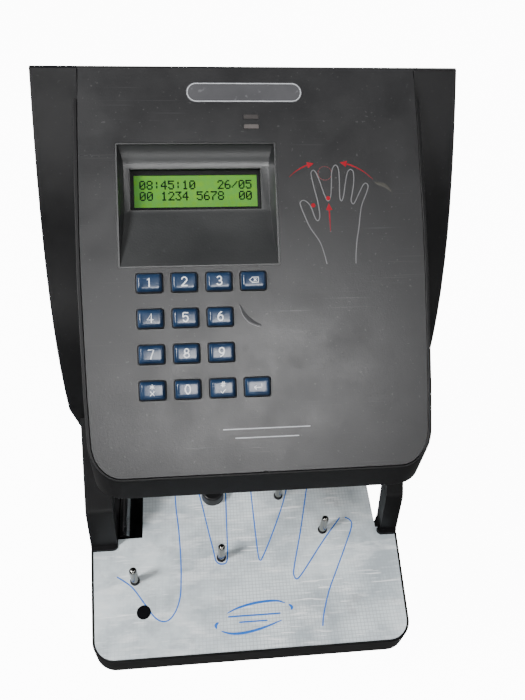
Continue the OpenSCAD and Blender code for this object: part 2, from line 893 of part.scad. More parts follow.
module beeper() {
    low = board_low + 0.4 * (board_high - board_low);
    color([0.05, 0.05, 0.05]) placed() translate([68, board_face, low])
        rotate([-90, 0, 0]) difference() {
            cylinder(r = 6, h = 7);
            translate([0, 0, 5]) cylinder(r = 1.2, h = 3);
        }
}

// ---- wall plate and hinge ----

module wall_plate() {
    color(steel) placed() difference() {
        union() {
            translate([-plate_w / 2, -plate_t, plate_low]) cube([plate_w, plate_t, plate_h]);
            // ears that hold the hinge pins
            for (s = [-1, 1]) {
                translate([s * hinge_x - ear_t / 2, hinge_y, hinge_h - ear_r])
                    cube([ear_t, -hinge_y, plate_low + 12 - hinge_h + ear_r]);
                translate([s * hinge_x - ear_t / 2, hinge_y, hinge_h]) rotate([0, 90, 0])
                    cylinder(r = ear_r, h = ear_t);
            }
            // bracket for the lock stud
            translate([plate_w / 2 - 3, lock_y + stud_reach - 5, lock_h - 7])
                cube([3, 5 - lock_y - stud_reach, 14]);
            translate([plate_w / 2 - 3, lock_y + stud_reach, lock_h]) rotate([0, 90, 0])
                cylinder(r = stud_r, h = cam_in + cam_t + 2 - plate_w / 2 + 3);
        }
        for (s = [-1, 1]) translate([s * hinge_x - ear_t, hinge_y, hinge_h]) rotate([0, 90, 0])
            cylinder(r = hinge_r, h = 2 * ear_t);
        // wall bolts
        for (x = [-1, 1], z = [-1, 1])
            translate([x * bolt_x / 2, 1, bolt_centre_h + z * bolt_z / 2]) rotate([90, 0, 0])
                cylinder(r = bolt_r, h = plate_t + 2);
        // conduit opening
        translate([0, 1, bolt_centre_h]) rotate([90, 0, 0]) translate([0, 0, 0])
            round_box(70, 90, plate_t + 2, 8);
        // lightening slots
        for (x = [-1, 1]) translate([x * 58, 1, bolt_centre_h]) rotate([90, 0, 0])
            round_box(10, 110, plate_t + 2, 4.9);
    }
}

module hinge_pins() {
    color(bright) placed() for (s = [0, 1]) mirror([s, 0, 0])
        translate([hinge_x - ear_t / 2 - 1, hinge_y, hinge_h]) rotate([0, 90, 0])
            cylinder(r = hinge_r, h = ear_t + 1 + pin_out);
}

module hinge_sleeves() {
    color(charcoal) placed() for (s = [0, 1]) mirror([s, 0, 0])
        translate([hinge_x + ear_t / 2 + 1, 0, hinge_h]) difference() {
            union() {
                translate([0, hinge_y, 0]) rotate([0, 90, 0]) cylinder(r = sleeve_r, h = sleeve_l);
                translate([0, cover_y - cover_t, -3.5]) cube([sleeve_l, hinge_y - cover_y + cover_t, 7]);
                translate([0, cover_y, -3.5]) cube([sleeve_l, 4, cover_bottom + 10]);
            }
            translate([-1, hinge_y, 0]) rotate([0, 90, 0])
                cylinder(r = hinge_r + hinge_gap, h = sleeve_l + 2);
        }
}

// ---- lock ----

module lock_axis(x) {
    translate([x, lock_y, lock_h]) rotate([0, 90, 0]) children();
}

module lock_housing() {
    color(bright) placed() lock_axis(cam_in + cam_t + 1) difference() {
        cylinder(r = lock_r + 1.5, h = half_w - wall_t - cam_in - cam_t - 1);
        translate([0, 0, -1]) cylinder(r = lock_r + lock_gap, h = 60);
    }
}

module lock_plug() {
    color(bright) placed() lock_axis(cam_in + cam_t) difference() {
        cylinder(r = lock_r, h = half_w - cam_in - cam_t - 0.4);
        translate([-0.6, -3.4, half_w - cam_in - cam_t - 8]) cube([1.2, 6.8, 10]);
    }
}

// claw that turns up round the stud on the wall plate
module lock_cam() {
    color(steel) placed() translate([cam_in, lock_y, lock_h]) rotate([90, 0, 90])
        linear_extrude(cam_t) difference() {
            union() {
                circle(7);
                intersection() {
                    circle(claw_r);
                    polygon([[0, 0], [40 * cos(-30), 40 * sin(-30)], [40, -40],
                        [40 * cos(-110), 40 * sin(-110)]]);
                }
            }
            intersection() {
                difference() {
                    circle(claw_out);
                    circle(claw_in);
                }
                polygon([[0, 0], [40, 0], [40, -40], [40 * cos(-85), 40 * sin(-85)]]);
            }
        }
}

module case_screws() {
    color(bright) placed() {
        for (p = foot_screws) translate([p[0], p[1], 0.6]) {
            cylinder(r = 1.5, h = 6);
        }
    }
}

wall_plate();
hinge_pins();
rear_shell();
head_shell();
front_panel();
base_tray();
rear_box();
left_leg();
right_arm();
base_cover();
back_cover();
platen_plate();
finger_pins();
pin_grommets();
finger_post();
mirror_holder();
mirror_glass();
camera_window();
camera_barrel();
camera_lens();
camera_board();
light_board();
light_leds();
display_bezel();
display_window();
display_glass();
display_frame();
display_board();
keypad_mat();
keypad_board();
status_light_upper();
status_light_lower();
name_plate();
main_board();
board_posts();
board_chips();
ethernet_jack();
power_jack();
terminal_blocks();
battery();
beeper();
hinge_sleeves();
lock_housing();
case_screws();
lock_plug();
lock_cam();
key_at(0);  // key_1
key_at(1);  // key_2
key_at(2);  // key_3
key_at(3);  // key_clear
key_at(4);  // key_4
key_at(5);  // key_5
key_at(6);  // key_6
key_at(7);  // key_7
key_at(8);  // key_8
key_at(9);  // key_9
key_at(10);  // key_star
key_at(11);  // key_0
key_at(12);  // key_hash
key_at(13);  // key_enter
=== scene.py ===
"""Looks of the hand-geometry terminal, built around its CAD frame."""

import json
import math

import bmesh
import bpy
from mathutils import Matrix, Vector


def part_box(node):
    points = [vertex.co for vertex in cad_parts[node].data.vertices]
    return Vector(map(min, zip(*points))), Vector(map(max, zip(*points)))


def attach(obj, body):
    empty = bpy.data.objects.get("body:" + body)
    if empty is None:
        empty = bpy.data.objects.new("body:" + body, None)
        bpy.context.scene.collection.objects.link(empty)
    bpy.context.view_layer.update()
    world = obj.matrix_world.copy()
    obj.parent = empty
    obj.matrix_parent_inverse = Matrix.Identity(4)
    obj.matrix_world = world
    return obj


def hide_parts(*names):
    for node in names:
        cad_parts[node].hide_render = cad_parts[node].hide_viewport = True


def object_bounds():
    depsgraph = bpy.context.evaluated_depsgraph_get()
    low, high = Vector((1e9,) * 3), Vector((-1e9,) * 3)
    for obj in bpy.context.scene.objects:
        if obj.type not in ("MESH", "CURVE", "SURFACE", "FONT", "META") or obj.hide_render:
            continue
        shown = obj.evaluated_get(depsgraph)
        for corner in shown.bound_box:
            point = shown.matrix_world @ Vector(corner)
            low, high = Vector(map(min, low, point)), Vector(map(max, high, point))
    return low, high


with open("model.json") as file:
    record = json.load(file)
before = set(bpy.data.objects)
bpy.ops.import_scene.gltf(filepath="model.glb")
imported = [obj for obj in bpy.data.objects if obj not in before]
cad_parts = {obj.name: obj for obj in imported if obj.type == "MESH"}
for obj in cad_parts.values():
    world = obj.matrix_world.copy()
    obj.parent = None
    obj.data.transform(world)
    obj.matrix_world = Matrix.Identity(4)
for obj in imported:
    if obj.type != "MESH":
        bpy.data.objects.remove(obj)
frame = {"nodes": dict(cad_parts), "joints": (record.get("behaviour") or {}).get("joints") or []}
cad_low, cad_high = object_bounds()
MM = 0.001
TERMINAL = "terminal"

# ---------------------------------------------------------------- camera

CAMERA_AT = Vector((-0.0354, -0.3448, 0.3443))
CAMERA_DOWN = math.radians(51.67)
CAMERA_TURN = math.radians(9.38)
CAMERA_ROLL = math.radians(5.43)
FOCAL_PX = 712.8
FRAME_H_PX = 700
SENSOR_MM = 36.0


def make_camera():
    """Stands where the photograph was taken from: above, a little to the left."""
    cos_d, sin_d = math.cos(CAMERA_DOWN), math.sin(CAMERA_DOWN)
    cos_t, sin_t = math.cos(CAMERA_TURN), math.sin(CAMERA_TURN)
    ahead = Vector((sin_t * cos_d, cos_t * cos_d, -sin_d))
    right = Vector((cos_t, -sin_t, 0))
    up = right.cross(ahead)
    cos_r, sin_r = math.cos(CAMERA_ROLL), math.sin(CAMERA_ROLL)
    x = right * cos_r + up * sin_r
    y = up * cos_r - right * sin_r
    data = bpy.data.cameras.new("camera")
    data.sensor_width = SENSOR_MM
    data.lens = FOCAL_PX / FRAME_H_PX * SENSOR_MM
    data.clip_start = 0.01
    cam = bpy.data.objects.new("camera", data)
    cam.matrix_world = Matrix.Translation(CAMERA_AT) @ Matrix(
        (x, y, -ahead)).transposed().to_4x4()
    bpy.context.scene.collection.objects.link(cam)
    bpy.context.scene.camera = cam


make_camera()

# ---------------------------------------------------------------- panel frame

_, panel_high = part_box("front_panel")
press = next(j for j in frame["joints"] if j["name"] == "key_1_press")
OUT = -Vector(press["axis"]).normalized()
ACROSS = Vector((1, 0, 0))
UP = OUT.cross(ACROSS)
PANEL_TOP = Vector((0, panel_high.y, panel_high.z))


def on_panel(x, s, h=0.0):
    """A point on the sloped panel: x across, s down from its top edge, h out of it, in mm."""
    return PANEL_TOP + (ACROSS * x - UP * s + OUT * h) * MM


def panel_box(node):
    """Lowest and highest (x, s, h) of a CAD node in the panel's own directions, in mm."""
    rows = []
    for v in frame["nodes"][node].data.vertices:
        d = (v.co - PANEL_TOP) / MM
        rows.append((d.dot(ACROSS), -d.dot(UP), d.dot(OUT)))
    return [min(c) for c in zip(*rows)], [max(c) for c in zip(*rows)]


# ---------------------------------------------------------------- materials


class Shader:
    """A material with a Principled shader and short ways to add procedural detail."""

    def __init__(self, name, rough=0.5, metallic=0.0, **sockets):
        self.material = bpy.data.materials.new(name)
        self.material.use_nodes = True
        self.tree = self.material.node_tree
        self.shader = self.tree.nodes["Principled BSDF"]
        self.shader.inputs["Roughness"].default_value = rough
        self.shader.inputs["Metallic"].default_value = metallic
        for key, value in sockets.items():
            self.shader.inputs[key.replace("_", " ")].default_value = value
        self.place = self.add("ShaderNodeTexCoord").outputs["Object"]
        self.height = None

    def add(self, kind, **inputs):
        node = self.tree.nodes.new(kind)
        for key, value in inputs.items():
            self.put(node.inputs[key.replace("_", " ")], value)
        return node

    def put(self, socket, value):
        if isinstance(value, bpy.types.NodeSocket):
            self.tree.links.new(value, socket)
        else:
            socket.default_value = value

    def mapped(self, scale=(1, 1, 1), turn=(0, 0, 0)):
        node = self.add("ShaderNodeMapping", Vector=self.place, Scale=scale,
                        Rotation=[math.radians(a) for a in turn])
        return node.outputs["Vector"]

    def noise(self, scale, detail=3.0, rough=0.5, vector=None):
        node = self.add("ShaderNodeTexNoise", Vector=vector or self.place, Scale=scale,
                        Detail=detail, Roughness=rough)
        return node.outputs["Fac"]

    def cells(self, scale, feature="F1", vector=None, randomness=1.0):
        node = self.tree.nodes.new("ShaderNodeTexVoronoi")
        node.feature = feature
        self.put(node.inputs["Vector"], vector or self.place)
        self.put(node.inputs["Scale"], scale)
        self.put(node.inputs["Randomness"], randomness)
        return node.outputs["Distance"]

    def math(self, op, a, b):
        node = self.tree.nodes.new("ShaderNodeMath")
        node.operation = op
        self.put(node.inputs[0], a)
        self.put(node.inputs[1], b)
        return node.outputs[0]

    def span(self, value, low, high, to_low=0.0, to_high=1.0):
        node = self.add("ShaderNodeMapRange", Value=value)
        limits = {"From Min": low, "From Max": high, "To Min": to_low, "To Max": to_high}
        for key, limit in limits.items():
            node.inputs[key].default_value = limit
        return node.outputs["Result"]

    def blend(self, factor, a, b):
        node = self.tree.nodes.new("ShaderNodeMix")
        node.data_type = "RGBA"
        self.put(node.inputs[0], factor)
        for socket, value in ((node.inputs[6], a), (node.inputs[7], b)):
            if not isinstance(value, bpy.types.NodeSocket) and len(value) == 3:
                value = (*value, 1.0)
            self.put(socket, value)
        return node.outputs[2]

    def colour(self, value):
        self.put(self.shader.inputs["Base Color"], value)

    def rough(self, value):
        self.put(self.shader.inputs["Roughness"], value)

    def bump(self, height, strength=0.3, distance=0.0001):
        node = self.add("ShaderNodeBump", Height=height, Strength=strength, Distance=distance)
        if self.height is not None:
            self.put(node.inputs["Normal"], self.height)
        self.height = node.outputs["Normal"]
        self.put(self.shader.inputs["Normal"], self.height)

    def scratches(self, turn, length=30.0, fineness=900.0, keep=0.70, patch=14.0):
        """Fine, long marks in one direction, kept only in patches: 0 to 1."""
        stretched = self.mapped(scale=(length, fineness, fineness), turn=turn)
        line = self.span(self.noise(1.0, 1.0, 0.4, stretched), keep, keep + 0.05)
        where = self.span(self.noise(patch, 2.0, 0.6), 0.5, 0.62)
        return self.math("MULTIPLY", line, where)


def grained_plastic(name, dark, light, rough, grain=1500.0, depth=0.35, smudge=0.12, sheen=0.22):
    """Moulded plastic with a fine grain, cloudy handling marks and a little dust."""
    m = Shader(name, rough=rough, Specular_IOR_Level=sheen)
    cloud = m.noise(22.0, 4.0, 0.6)
    fine = m.noise(grain, 2.0, 0.55)
    tone = m.blend(m.span(cloud, 0.3, 0.75), dark, light)
    speck = m.span(m.noise(grain * 0.4, 1.0, 0.4), 0.70, 0.78, 0.0, 0.35)
    m.colour(m.blend(speck, tone, [min(1.0, c * 2.2 + 0.01) for c in light]))
    m.rough(m.span(cloud, 0.25, 0.75, rough - smudge, rough + smudge))
    m.bump(fine, depth, 0.00008)
    return m


def smooth_metal(name, tone, rough, brushed=(1, 1, 1)):
    m = Shader(name, rough=rough, metallic=1.0)
    grain = m.noise(1.0, 3.0, 0.6, m.mapped(scale=[900 * b for b in brushed]))
    cloud = m.noise(60.0, 3.0, 0.5)
    m.colour(m.blend(cloud, [c * 0.82 for c in tone], tone))
    m.rough(m.span(grain, 0.3, 0.7, rough * 0.7, rough * 1.35))
    m.bump(grain, 0.08, 0.00003)
    return m


def circuit_board(name):
    m = Shader(name, rough=0.35)
    tracks = m.cells(260.0, "DISTANCE_TO_EDGE", randomness=0.35)
    pads = m.cells(420.0, "F1", randomness=0.1)
    green = m.blend(m.span(tracks, 0.02, 0.05), (0.05, 0.27, 0.12), (0.02, 0.14, 0.06))
    m.colour(m.blend(m.span(pads, 0.12, 0.16, 1.0, 0.0), green, (0.55, 0.5, 0.32)))
    m.rough(m.span(m.noise(40.0), 0.3, 0.7, 0.3, 0.45))
    m.bump(tracks, 0.15, 0.00005)
    return m


MATERIALS = {
    "shell": grained_plastic("shell", (0.0035, 0.0035, 0.004), (0.007, 0.007, 0.0075), 0.42),
    "housing": grained_plastic("housing", (0.003, 0.003, 0.0034), (0.006, 0.006, 0.0064), 0.42),
    "charcoal": grained_plastic("charcoal", (0.02, 0.02, 0.022), (0.035, 0.035, 0.038), 0.5),
    "black": grained_plastic("black", (0.004, 0.004, 0.0045), (0.008, 0.008, 0.0085), 0.36, 2200),
    "bezel": grained_plastic("bezel", (0.0055, 0.0065, 0.007), (0.009, 0.010, 0.0105), 0.42, 1100,
                             0.9, 0.06, 1.0),
    "rubber": grained_plastic("rubber", (0.012, 0.012, 0.013), (0.022, 0.022, 0.024), 0.72, 1800),
    "chip": grained_plastic("chip", (0.010, 0.010, 0.011), (0.02, 0.02, 0.02), 0.55, 2600),
    "pin_steel": smooth_metal("pin_steel", (0.24, 0.24, 0.225), 0.15, (1, 1, 0.15)),
    "wall_steel": smooth_metal("wall_steel", (0.6, 0.61, 0.62), 0.38, (0.08, 1, 1)),
    "zinc": smooth_metal("zinc", (0.62, 0.63, 0.6), 0.32),
    "chrome": smooth_metal("chrome", (0.8, 0.8, 0.81), 0.12),
    "cover": grained_plastic("cover", (0.05, 0.05, 0.053), (0.075, 0.075, 0.08), 0.4, 900),
    "board": circuit_board("board"),
    "block_green": grained_plastic("block_green", (0.04, 0.26, 0.07), (0.06, 0.33, 0.09), 0.4),
    "cell": grained_plastic("cell", (0.02, 0.06, 0.3), (0.03, 0.09, 0.36), 0.25, 600),
}

# ---------------------------------------------------------------- mesh helpers


SMOOTH_ANGLE = math.radians(42)


def add_piece(name, verts, faces, material, body=TERMINAL, smooth=True, slot=None):
    """A new mesh piece, given in the row frame in metres, riding on a CAD body."""
    mesh = bpy.data.meshes.new(name)
    mesh.from_pydata([tuple(v) for v in verts], [], faces)
    mesh.validate()
    work = bmesh.new()
    work.from_mesh(mesh)
    bmesh.ops.recalc_face_normals(work, faces=work.faces)
    work.to_mesh(mesh)
    work.free()
    obj = bpy.data.objects.new(name, mesh)
    bpy.context.scene.collection.objects.link(obj)
    mesh.materials.append(material)
    if smooth:
        mesh.polygons.foreach_set("use_smooth", [True] * len(mesh.polygons))
        mesh.set_sharp_from_angle(angle=SMOOTH_ANGLE)
    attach(obj, body)
    return obj


def round_ring(w, l, r, steps=5):
    """Points round a rounded rectangle centred on the origin."""
    r = min(r, w / 2 - 1e-4, l / 2 - 1e-4)
    ring = []
    for cx, cy, a0 in ((1, 1, 0), (-1, 1, 90), (-1, -1, 180), (1, -1, 270)):
        for i in range(steps + 1):
            a = math.radians(a0 + 90 * i / steps)
            ring.append((cx * (w / 2 - r) + r * math.cos(a), cy * (l / 2 - r) + r * math.sin(a)))
    return ring


def lofted(rings, closed_ends=(True, True)):
    """Verts and faces through rings of equal length."""
    count = len(rings[0])
    verts = [v for ring in rings for v in ring]
    faces = []
    for j in range(len(rings) - 1):
        for i in range(count):
            k = (i + 1) % count
            faces.append((j * count + i, j * count + k, (j + 1) * count + k, (j + 1) * count + i))
    if closed_ends[0]:
        faces.append(tuple(range(count))[::-1])
    if closed_ends[1]:
        faces.append(tuple(range((len(rings) - 1) * count, len(rings) * count)))
    return verts, faces


def lathe(profile, steps=40):
    """Verts and faces of a turned shape round Z from (radius, height) pairs, in mm."""
    rings = [[Vector((r * math.cos(math.tau * i / steps), r * math.sin(math.tau * i / steps), z))
              for i in range(steps)] for r, z in profile]
    return lofted(rings)


def smooth_path(points, steps=6, closed=False):
    """A Catmull-Rom curve through 2-D points."""
    count = len(points)
    if count < 3:
        return [Vector(p) for p in points]
    out = []
    spans = count if closed else count - 1
    for i in range(spans):
        if closed:
            p = [Vector(points[(i + k) % count]) for k in (-1, 0, 1, 2)]
        else:
            p = [Vector(points[min(max(i + k, 0), count - 1)]) for k in (-1, 0, 1, 2)]
        for j in range(steps):
            u = j / steps
            out.append(0.5 * (2 * p[1] + (p[2] - p[0]) * u
                              + (2 * p[0] - 5 * p[1] + 4 * p[2] - p[3]) * u * u
                              + (3 * p[1] - p[0] - 3 * p[2] + p[3]) * u ** 3))
    if not closed:
        out.append(Vector(points[-1]))
    return out


def ribbon(path, width, height, place, closed=False):
    """Verts and faces of a low rounded stroke along a 2-D path; place(x, y, h) sets a point."""
    half = width / 2
    section = [(-1.0, 0.0), (-0.72, 0.75), (0.0, 1.0), (0.72, 0.75), (1.0, 0.0)]
    count = len(path)
    rings = []

    def ring_at(p, side, w, h):
        return [place(p.x + side.x * w * a, p.y + side.y * w * a, h * b) for a, b in section]

    for i, p in enumerate(path):
        before = path[i - 1] if i or closed else path[i]
        after = path[(i + 1) % count] if i < count - 1 or closed else path[i]
        ahead = (after - before).normalized()
        side = Vector((-ahead.y, ahead.x))
        if i == 0 and not closed:
            for back, w, h in ((0.9, 0.35, 0.4), (0.5, 0.82, 0.85)):
                rings.append(ring_at(p - ahead * half * back, side, half * w, height * h))
        rings.append(ring_at(p, side, half, height))
        if i == count - 1 and not closed:
            for on, w, h in ((0.5, 0.82, 0.85), (0.9, 0.35, 0.4)):
                rings.append(ring_at(p + ahead * half * on, side, half * w, height * h))
    verts = [v for ring in rings for v in ring]
    n = len(section)
    faces = []
    last = len(rings) if closed else len(rings) - 1
    for j in range(last):
        k = (j + 1) % len(rings)
        for i in range(n):
            m = (i + 1) % n
            faces.append((j * n + i, j * n + m, k * n + m, k * n + i))
    if not closed:
        faces.append(tuple(range(n)))
        faces.append(tuple(range((len(rings) - 1) * n, len(rings) * n))[::-1])
    return verts, faces


class Batch:
    """Several small shapes gathered into one piece."""

    def __init__(self):
        self.verts, self.faces = [], []

    def take(self, shape):
        verts, faces = shape
        base = len(self.verts)
        self.verts += verts
        self.faces += [tuple(base + i for i in f) for f in faces]

    def strokes(self, paths, width, height, place, curve=True):
        for path in paths:
            closed = len(path) > 2 and path[0] == path[-1]
            points = path[:-1] if closed else path
            line = smooth_path(points, 5, closed) if curve else [Vector(p) for p in points]
            self.take(ribbon(line, width, height, place, closed))

    def piece(self, name, material, **options):
        return add_piece(name, self.verts, self.faces, MATERIALS[material].material, **options)


def arc(cx, cy, rx, ry, start, end, steps=12):
    return [(cx + rx * math.cos(math.radians(start + (end - start) * i / steps)),
             cy + ry * math.sin(math.radians(start + (end - start) * i / steps)))
            for i in range(steps + 1)]


# ---------------------------------------------------------------- finishing the CAD nodes


WELD_GAP = 0.01
FLAT_ANGLE = math.radians(1.0)
BEVEL_ANGLE = math.radians(32)


def finish_node(node, material, bevel):
    """Gives a CAD node its material and, through modifiers alone, softly rounded edges."""
    obj = frame["nodes"][node]
    obj.data.materials.clear()
    obj.data.materials.append(MATERIALS[material].material)
    if bevel:
        weld = obj.modifiers.new("weld", "WELD")
        weld.merge_threshold = WELD_GAP * MM
        flat = obj.modifiers.new("flat", "DECIMATE")
        flat.decimate_type = "DISSOLVE"
        flat.angle_limit = FLAT_ANGLE
        soft = obj.modifiers.new("soft", "BEVEL")
        soft.width = bevel * MM
        soft.segments = 2
        soft.limit_method = "ANGLE"
        soft.angle_limit = BEVEL_ANGLE
        soft.harden_normals = False
        level = obj.modifiers.new("level", "WEIGHTED_NORMAL")
        level.keep_sharp = False


# ---------------------------------------------------------------- special materials

TILT_TURN = (-math.degrees(math.asin(UP.z)), 0, 0)


def panel_material():
    """Charcoal panel: fine grain, cloudy polish, fine scratches and rubbed patches all over."""
    m = Shader("panel", rough=0.4, Specular_IOR_Level=0.58)
    flat = m.mapped(turn=TILT_TURN)
    cloud = m.noise(14.0, 5.0, 0.62, flat)
    patch = m.noise(42.0, 4.0, 0.6, flat)
    fine = m.noise(1100.0, 3.0, 0.6)
    tone = m.blend(m.span(cloud, 0.3, 0.72), (0.008, 0.008, 0.0088), (0.013, 0.013, 0.014))
    marks = None
    for angle, keep in ((24, 0.70), (-38, 0.715), (71, 0.72)):
        turned = m.add("ShaderNodeMapping", Vector=flat, Rotation=(0, 0, math.radians(angle)),
                       Scale=(16.0, 1300.0, 1300.0)).outputs["Vector"]
        line = m.span(m.noise(1.0, 1.0, 0.4, turned), keep, keep + 0.06)
        where = m.span(m.noise(19.0 + abs(angle) * 0.1, 2.0, 0.6), 0.52, 0.66)
        one = m.math("MULTIPLY", line, where)
        marks = one if marks is None else m.math("MAXIMUM", marks, one)
    dust = m.span(m.noise(700.0, 1.0, 0.3), 0.73, 0.78, 0.0, 0.5)
    tone = m.blend(m.math("MULTIPLY", marks, 0.4), tone, (0.06, 0.06, 0.063))
    tone = m.blend(dust, tone, (0.06, 0.06, 0.06))
    m.colour(tone)
    m.rough(m.math("ADD", m.span(patch, 0.3, 0.7, 0.32, 0.43), m.math("MULTIPLY", marks, -0.08)))
    m.bump(fine, 0.5, 0.00009)
    return m


def platen_material():
    """Pale printed film over metal: fine honeycomb, greasy smudges and rubbed scratches."""
    m = Shader("platen_film", rough=0.38, metallic=0.0)
    comb = m.cells(430.0, "DISTANCE_TO_EDGE", randomness=0.05)
    net = m.span(comb, 0.02, 0.12, 1.0, 0.0)
    area = m.span(m.noise(11.0, 2.0, 0.5), 0.42, 0.6)
    net = m.math("MULTIPLY", net, area)
    cloud = m.noise(26.0, 6.0, 0.65)
    smear = m.noise(1.0, 4.0, 0.6, m.mapped(scale=(30, 110, 30), turn=(0, 0, 28)))
    base = m.blend(m.span(cloud, 0.38, 0.62), (0.38, 0.43, 0.46), (0.66, 0.72, 0.74))
    base = m.blend(m.span(smear, 0.52, 0.66, 0.0, 0.7), base, (0.80, 0.83, 0.84))
    base = m.blend(m.math("MULTIPLY", net, 0.7), base, (0.30, 0.33, 0.36))
    rub = m.math("MAXIMUM", m.scratches((0, 0, 60), 60.0, 620.0, 0.63, 24.0),
                 m.scratches((0, 0, -65), 50.0, 700.0, 0.64, 30.0))
    base = m.blend(m.math("MULTIPLY", rub, 0.8), base, (0.9, 0.91, 0.92))
    grime = m.span(m.noise(55.0, 5.0, 0.7), 0.62, 0.75, 0.0, 0.5)
    base = m.blend(grime, base, (0.3, 0.3, 0.31))
    m.colour(base)
    m.rough(m.span(cloud, 0.3, 0.7, 0.3, 0.5))
    m.bump(comb, 0.06, 0.00004)
    return m


def key_material():
    m = Shader("key_blue", rough=0.2, Specular_IOR_Level=0.42)
    cloud = m.noise(170.0, 4.0, 0.6)
    tone = m.blend(m.span(cloud, 0.3, 0.7), (0.007, 0.020, 0.050), (0.013, 0.034, 0.078))
    rub = m.scratches((0, 0, 30), 120.0, 2600.0, 0.68, 160.0)
    m.colour(m.blend(m.math("MULTIPLY", rub, 0.5), tone, (0.2, 0.24, 0.3)))
    m.rough(m.span(cloud, 0.3, 0.7, 0.15, 0.24))
    m.bump(m.noise(1200.0), 0.05, 0.00004)
    return m


def ink(name, tone, worn=0.35, rough=0.45, scale=380.0, sheen=0.4):
    """A printed or moulded mark with a slightly rubbed surface."""
    m = Shader(name, rough=rough, Specular_IOR_Level=sheen)
    rub = m.span(m.noise(scale, 4.0, 0.65), 0.5, 0.75, 0.0, worn)
    m.colour(m.blend(rub, tone, [c * 0.55 for c in tone]))
    m.rough(m.span(m.noise(scale * 0.5), 0.3, 0.7, rough * 0.85, rough * 1.15))
    m.bump(m.noise(scale * 3), 0.05, 0.00003)
    return m


def display_material():
    """Back-lit yellow-green glass with the faint grid of its character cells."""
    m = Shader("display_green", rough=0.22)
    flat = m.mapped(turn=TILT_TURN)
    glow = m.noise(30.0, 2.0, 0.5, flat)
    cells = m.cells(260.0, vector=flat, randomness=0.4)
    tone = m.blend(m.span(glow, 0.3, 0.7), (0.07, 0.235, 0.012), (0.115, 0.29, 0.02))
    tone = m.blend(m.span(cells, 0.2, 0.6, 0.0, 0.35), tone, (0.045, 0.22, 0.055))
    m.colour(tone)
    m.put(m.shader.inputs["Emission Color"], tone)
    m.shader.inputs["Emission Strength"].default_value = 0.25
    m.bump(m.noise(900.0, 1.0), 0.03, 0.00002)
    return m


def clear_material(name, tone, alpha, rough=0.06):
    m = Shader(name, rough=rough, Alpha=alpha, Specular_IOR_Level=0.3)
    haze = m.noise(120.0, 4.0, 0.6)
    m.colour(m.blend(haze, tone, [c * 0.85 for c in tone]))
    m.rough(m.span(haze, 0.3, 0.7, rough, rough * 2.2))
    return m


def mirror_material():
    m = Shader("mirror_face", rough=0.04, metallic=1.0)
    haze = m.noise(90.0, 4.0, 0.6)
    m.colour(m.blend(haze, (0.86, 0.87, 0.88), (0.7, 0.71, 0.72)))
    m.rough(m.span(haze, 0.35, 0.7, 0.02, 0.12))
    return m


MATERIALS.update(
    panel=panel_material(),
    platen=platen_material(),
    key=key_material(),
    display=display_material(),
    window=clear_material("clear_window", (0.05, 0.055, 0.05), 0.04),
    lens=clear_material("lens_glass", (0.35, 0.4, 0.5), 0.5, 0.03),
    led=clear_material("led_plastic", (0.5, 0.45, 0.55), 0.75, 0.12),
    filter=clear_material("dark_filter", (0.03, 0.004, 0.008), 0.86, 0.05),
    mirror=mirror_material(),
    legend_ink=ink("legend_ink", (0.72, 0.74, 0.76), 0.35),
    # grey print for the hand outline, also used for the painted highlight on the scuff's lit edge
    outline_ink=ink("outline_ink", (0.125, 0.125, 0.13), 0.45),
    residue=ink("residue", (0.042, 0.040, 0.034), 0.8, 0.6, 900.0),
    grey_ink=ink("grey_ink", (0.42, 0.43, 0.45), 0.5),
    red_ink=ink("red_ink", (0.28, 0.005, 0.014), 0.4, 0.6, sheen=0.2),
    faint_red=ink("faint_red", (0.16, 0.03, 0.035), 0.5),
    blue_ink=ink("blue_ink", (0.008, 0.13, 0.55), 0.25, 0.6),
    black_ink=ink("black_ink", (0.003, 0.003, 0.004), 0.3, 0.75, sheen=0.05),
    # dark ink of the display dots, which also covers the painted shadow round them
    pixel=ink("display_pixel", (0.001, 0.004, 0.002), 0.15, 0.7, sheen=0.05),
    lamp=ink("status_lamp", (0.038, 0.034, 0.033), 0.4, 0.4),
    lamp_bright=ink("status_lamp_bright", (0.085, 0.075, 0.072), 0.4, 0.4),
)

# node: material, bevel in mm
FINISHES = {
    "wall_plate": ("wall_steel", 0.3), "hinge_pins": ("pin_steel", 0.3),
    "rear_shell": ("shell", 1.0), "head_shell": ("shell", 0.9),
    "front_panel": ("panel", 0.25), "base_tray": ("housing", 0.8),
    "rear_box": ("housing", 0.6), "left_leg": ("housing", 2.0), "right_arm": ("housing", 2.0),
    "base_cover": ("charcoal", 0.4), "back_cover": ("cover", 0.3),
    "platen_plate": ("platen", 0.3), "pin_grommets": ("rubber", 0.2),
    "finger_post": ("black", 0), "finger_pins": ("pin_steel", 0),
    "mirror_holder": ("black", 0.3), "mirror_glass": ("mirror", 0.1),
    "camera_window": ("filter", 0.15), "camera_barrel": ("black", 0.3),
    "camera_lens": ("lens", 0), "camera_board": ("board", 0.1),
    "light_board": ("board", 0.1), "light_leds": ("led", 0),
    "display_window": ("window", 0.1), "display_glass": ("display", 0.1),
    "display_frame": ("black", 0.15), "display_board": ("board", 0.1),
    "keypad_mat": ("rubber", 0.3), "keypad_board": ("board", 0.1),
    "status_light_upper": ("lamp", 0.15), "status_light_lower": ("lamp_bright", 0.15),
    "name_plate": ("cover", 0.12), "main_board": ("board", 0.1),
    "board_posts": ("zinc", 0.2), "board_chips": ("chip", 0.2),
    "ethernet_jack": ("zinc", 0.2), "power_jack": ("black", 0.3),
    "terminal_blocks": ("block_green", 0.2), "battery": ("cell", 0.5),
    "beeper": ("black", 0.4), "hinge_sleeves": ("cover", 0.4),
    "lock_housing": ("chrome", 0.2), "case_screws": ("zinc", 0.2),
    "lock_plug": ("chrome", 0.2), "lock_cam": ("zinc", 0.3),
    "display_bezel": ("bezel", 0.3),
}
for node_name, (look, bevel_mm) in FINISHES.items():
    finish_node(node_name, look, bevel_mm)

# ---------------------------------------------------------------- keys

